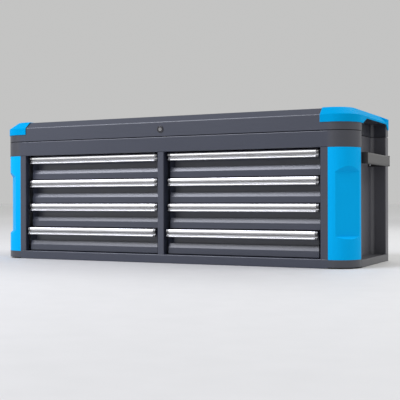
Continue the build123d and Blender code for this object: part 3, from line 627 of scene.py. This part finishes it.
def pull_section():
    """Loop of clip, round nose, groove and lip, as (y, z) from the drawer front's lower edge."""
    nose_low, lip_top = PULL_TOP - NOSE, PULL_FOOT + LIP
    flange, rear = PULL_TOP - WALL, BAR - PULL_REACH
    nose = arc((NOSE_DEPTH - PULL_REACH, nose_low), NOSE, 90, 180, NOSE_STEPS, NOSE_DEPTH / NOSE)
    half = (nose_low - lip_top) / 2
    radius = (half**2 + GROOVE**2) / (2 * GROOVE)
    reach = math.degrees(math.asin(half / radius))
    groove = arc((GROOVE - PULL_REACH - radius, lip_top + half), radius, reach, -reach, GROOVE_STEPS)
    shelf = [point for point in groove[1:] if point[0] > LIP_EDGE - PULL_REACH or point[1] > lip_top + half]
    lip = arc((LIP_EDGE - PULL_REACH, lip_top - LIP_EDGE), LIP_EDGE, 90, 180, LIP_STEPS)
    lip += arc((LIP_ROUND - PULL_REACH, PULL_FOOT + LIP_ROUND), LIP_ROUND, 180, 270, LIP_STEPS)
    clip = [(rear, PULL_FOOT), (rear, flange), (CLIP_AT, flange), (CLIP_AT, flange - CLIP_DROP)]
    clip += [(CLIP_AT + WALL, flange - CLIP_DROP), (CLIP_AT + WALL, PULL_TOP)]
    return nose + shelf + lip + clip


print("pull section:", len(pull_section()), "points")


# %% Pulls
def pull_points(face, low):
    """Mesh of the loop for one drawer, turned back for the sweep."""
    points, hollows = [], []
    for y, z in pull_section():
        points.append((-(face + y), -(low + z), 0.0))
        in_groove = y < BAR - PULL_REACH and PULL_FOOT + LIP < z < PULL_TOP - NOSE
        hollows.append(min(1.0, (PULL_TOP - NOSE - z) / GROOVE) if in_groove else 0.0)
    mesh = bpy.data.meshes.new("pull_section")
    mesh.from_pydata(points, [(k, (k + 1) % len(points)) for k in range(len(points))], [])
    mesh.attributes.new("hollow", "FLOAT", "POINT").data.foreach_set("value", hollows)
    return mesh


for drawer in DRAWERS:
    low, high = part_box(drawer + "_pull")
    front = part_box(drawer + "_box")[0]
    sizes = {"Middle": (low[0] + high[0]) / 2, "Width": high[0] - low[0]}
    pull = pull_recipe.make("extruded_" + drawer + "_pull", pull_points(front[1], front[2]), **sizes)
    stand_in(pull, drawer + "_pull")
print("pulls:", len(DRAWERS), "of", len(pull.data.polygons), "faces, hollow kept:", "hollow" in pull.data.attributes)

# %% [markdown]
# ## Fasteners
# Rivets hold the hinge leaves and the drawer runners, and cross-recess screws hold the handles. Copies could be set
# one by one; Instance on Points puts a small head on each point, turned by the direction that the point carries, and
# Realize Instances makes them real, because instances are lost when the model is exported. A rivet head is a ball
# with its lower half pressed flat. A screw has a cross cut out of the same head by a Boolean, and a shank.

# %% Rivet recipe
HEAD_SEGMENTS, HEAD_RINGS = 12, 6


def domed_head(recipe):
    """A ball whose lower half is pressed flat and whose upper half has the wanted height."""
    radius, height = recipe.given["Radius"], recipe.given["Height"]
    round_form = {"Segments": HEAD_SEGMENTS, "Rings": HEAD_RINGS, "Radius": radius}
    ball = recipe.node("GeometryNodeMeshUVSphere", {}, round_form)
    where = recipe.node("ShaderNodeSeparateXYZ", {}, {"Vector": recipe.node("GeometryNodeInputPosition")})
    above = recipe.node("ShaderNodeMath", {"operation": "MAXIMUM"}, {0: where.also("Z"), 1: 0.0})
    pressed = recipe.vector(where, where.also("Y"), above * height / radius)
    return recipe.node("GeometryNodeSetPosition", {}, {"Geometry": ball, "Position": pressed})


def on_points(recipe, head, material):
    """Put a head on each point, turned to where the point faces."""
    facing = recipe.node("GeometryNodeInputNamedAttribute", {"data_type": "FLOAT_VECTOR"}, {"Name": "facing"})
    turned = recipe.node("FunctionNodeAlignRotationToVector", {"axis": "Z"}, {"Vector": facing})
    sockets = {"Points": recipe.given["Geometry"], "Instance": head, "Rotation": turned}
    recipe.close(recipe.node("GeometryNodeInstanceOnPoints", {}, sockets), material)


rivet_recipe = Recipe("rivets", Radius=0.0035, Height=0.0014)
on_points(rivet_recipe, domed_head(rivet_recipe), ZINC)
print("rivet recipe:", len(rivet_recipe.tree.nodes), "nodes")

# %% Screw recipe
SCREW_HEAD = 0.0026
CROSS_LENGTH = 1.25   # in radii of the head
CROSS_LIFT = 0.95     # of the cutter's middle, in heights of the head
SHANK_DROP = 0.49     # of the shank's middle, in its lengths, so that its top is inside the head

screw_recipe = Recipe("cross_screws", Radius=0.0045, Height=SCREW_HEAD, Slot=0.0013, Shank=0.0024, Length=0.006)
given = screw_recipe.given
cross = CROSS_LENGTH * given["Radius"]
lift = screw_recipe.vector(z=CROSS_LIFT * given["Height"])
slots = []
for length, width in ((cross, given["Slot"]), (given["Slot"], cross)):
    size = screw_recipe.vector(length, width, given["Height"])
    slots.append(screw_recipe.moved(screw_recipe.node("GeometryNodeMeshCube", {}, {"Size": size}), lift))
cut = {"Mesh 1": domed_head(screw_recipe), "Mesh 2": slots}
head = screw_recipe.node("GeometryNodeMeshBoolean", {"operation": "DIFFERENCE", "solver": "EXACT"}, cut)
stem = {"Vertices": HEAD_SEGMENTS, "Radius": given["Shank"], "Depth": given["Length"]}
shank = screw_recipe.node("GeometryNodeMeshCylinder", {}, stem)
shank = screw_recipe.moved(shank, screw_recipe.vector(z=-SHANK_DROP * given["Length"]))
screw = screw_recipe.node("GeometryNodeJoinGeometry", {}, {"Geometry": [head, shank]})
on_points(screw_recipe, screw, ZINC)
print("screw recipe:", len(screw_recipe.tree.nodes), "nodes")

# %% [markdown]
# ## Setting out the fasteners
# A hinge leaf has an even row of rivets, and each side of a drawer three that hold its runner. Their places could be
# listed as numbers, but measured from the boxes of the pieces that carry them they stay right when a size changes.
# The screws take their places from the plain ones in the frame, which are told apart by walking along their edges.

# %% Rivets
RIVET_PITCH, LEAF_INSET, LEAF_THICKNESS = 0.1, 0.012, 0.0012
RUNNER_RIVETS, DRAWER_WALL = (0.04, 0.175, 0.31), 0.001
SMALL_RIVET = {"Radius": 0.003, "Height": 0.0011}


def facing_points(spots):
    """Mesh of loose points that each carry the direction they face."""
    mesh = bpy.data.meshes.new("spots")
    mesh.from_pydata([place for place, _ in spots], [], [])
    facing = [value for _, direction in spots for value in direction]
    mesh.attributes.new("facing", "FLOAT_VECTOR", "POINT").data.foreach_set("vector", facing)
    return mesh


def riveted(name, body, spots, **sizes):
    """Rivets on the given spots of a body."""
    rivets = rivet_recipe.make(name, facing_points(spots), **sizes)
    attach(rivets, body)


for node, body in (("body_hinge", "carcass"), ("lid_hinge", "lid")):
    low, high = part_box(node)
    leaf = low[2] + LEAF_INSET if body == "carcass" else high[2] - LEAF_INSET
    count = round((high[0] - low[0]) / RIVET_PITCH)
    along = [low[0] + (k + 0.5) * RIVET_PITCH for k in range(count)]
    riveted(node + "_rivets", body, [((x, low[1] + LEAF_THICKNESS, leaf), (0, 1, 0)) for x in along])

for drawer in DRAWERS:
    low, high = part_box(drawer + "_runners")
    box_low, box_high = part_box(drawer + "_box")
    height = (low[2] + high[2]) / 2
    row = [((box_low[0] + DRAWER_WALL, low[1] + y, height), (1, 0, 0)) for y in RUNNER_RIVETS]
    row += [((box_high[0] - DRAWER_WALL, low[1] + y, height), (-1, 0, 0)) for y in RUNNER_RIVETS]
    riveted(drawer + "_rivets", drawer, row, **SMALL_RIVET)
print("rivets:", 2 * count, "on the hinge,", len(row) * len(DRAWERS), "in the drawers")


# %% Handle screws
def loose_parts(shape):
    """Points of each separate part of a mesh."""
    parts, seen = [], set()
    for vert in shape.verts:
        part, waiting = [], [vert]
        while waiting:
            near = waiting.pop()
            if near not in seen:
                seen.add(near)
                part.append(near.co.copy())
                waiting += [edge.other_vert(near) for edge in near.link_edges]
        if part:
            parts.append(part)
    return parts


plain_screws = merged_copy("handle_screws")
spots = []
for part in loose_parts(plain_screws):
    side = math.copysign(1.0, part[0].x)
    seat = max(abs(co.x) for co in part) - SCREW_HEAD
    centre = [(min(co[k] for co in part) + max(co[k] for co in part)) / 2 for k in (1, 2)]
    spots.append(((side * seat, *centre), (side, 0, 0)))
plain_screws.free()
stand_in(screw_recipe.make("handle_cross_screws", facing_points(spots)), "handle_screws")
print("screws:", len(spots), "on the handles")

# %% [markdown]
# ## Floor and surround
# A studio has a pale sweep that runs from the floor up the wall with no line between. A bent sheet would do it, but
# it would show its edge in other views. Here the floor is wide and flat and grows paler far off, so that it runs into
# a plain pale surround, and both act as one large reflector.

# %% Floor and surround
FLOOR_REACH = 30.0
PALE_FROM, PALE_TO = 2.0, 7.0
NEAR_TONES, FAR_TONE = ((0.58, 0.58, 0.58), (0.63, 0.63, 0.63)), (0.94, 0.94, 0.94)
SURROUND_COLOUR, SURROUND_STRENGTH = (1.0, 1.0, 0.99, 1.0), 0.55

floor_shape = bmesh.new()
bmesh.ops.create_grid(floor_shape, x_segments=1, y_segments=1, size=FLOOR_REACH)
floor_mesh = bpy.data.meshes.new("floor")
floor_shape.to_mesh(floor_mesh)
floor_shape.free()
concrete = Finish("pale_floor")
where = concrete.place()
speck = concrete.noise(where, 14.0, 4.0)
away = concrete.node("ShaderNodeVectorMath", {"operation": "LENGTH"}, {0: where}, output="Value")
far = concrete.node("ShaderNodeMapRange", {}, {"Value": away, "From Min": PALE_FROM, "From Max": PALE_TO})
pale = concrete.surface(
    Base_Color=concrete.blend(far, concrete.blend(speck, *NEAR_TONES), FAR_TONE),
    Roughness=0.62 + 0.1 * speck,
)
as_piece("floor", floor_mesh, pale)

surround = bpy.data.worlds.new("pale_surround")
surround.use_nodes = True
background = surround.node_tree.nodes["Background"].inputs
background["Color"].default_value = SURROUND_COLOUR
background["Strength"].default_value = SURROUND_STRENGTH
bpy.context.scene.world = surround
print("floor:", 2 * FLOOR_REACH, "m wide, surround", SURROUND_STRENGTH)

# %% [markdown]
# ## Light
# Point lamps would give hard spots on the metal, so five large soft panels shape the chest. A bright one high on the
# left draws the lines on the folded edges and the sheen in the finger pockets, a wide one lower in front whitens the
# pulls, a tall weak one on the left lifts that end, one on the right the other end, and one behind parts the lid from
# the background.

# %% Light
CHEST = (0.0, 0.0, 0.25)
WHITE, BLUISH = (1.0, 1.0, 1.0), (0.86, 0.88, 1.0)
COOL, WARM = (0.96, 0.98, 1.0), (1.0, 0.99, 0.98)


def soft_panel(name, place, target, size, power, colour):
    """Area light at a place, turned to face a target."""
    light = bpy.data.lights.new(name, "AREA")
    light.shape = "RECTANGLE"
    light.size, light.size_y = size
    light.energy = power
    light.color = colour
    panel = bpy.data.objects.new(name, light)
    bpy.context.scene.collection.objects.link(panel)
    look = (Vector(target) - Vector(place)).to_track_quat("-Z", "Y")
    panel.matrix_world = Matrix.Translation(place) @ look.to_matrix().to_4x4()


soft_panel("key_panel", (-2.2, -2.4, 3.5), (-2.2, 0.0, 0.2), size=(3.4, 1.15), power=152.0, colour=BLUISH)
soft_panel("front_panel", (-1.8, -3.9, 2.6), (-1.8, 0.0, 0.25), size=(4.0, 1.8), power=54.0, colour=WHITE)
soft_panel("left_panel", (-3.2, -3.4, 1.0), CHEST, size=(1.6, 2.0), power=4.0, colour=COOL)
soft_panel("right_panel", (3.2, 1.0, 2.7), CHEST, size=(2.6, 2.0), power=60.0, colour=WARM)
soft_panel("rear_panel", (0.6, 2.6, 2.8), CHEST, size=(3.0, 1.2), power=40.0, colour=WHITE)
print("light:", len(bpy.data.lights), "soft panels")
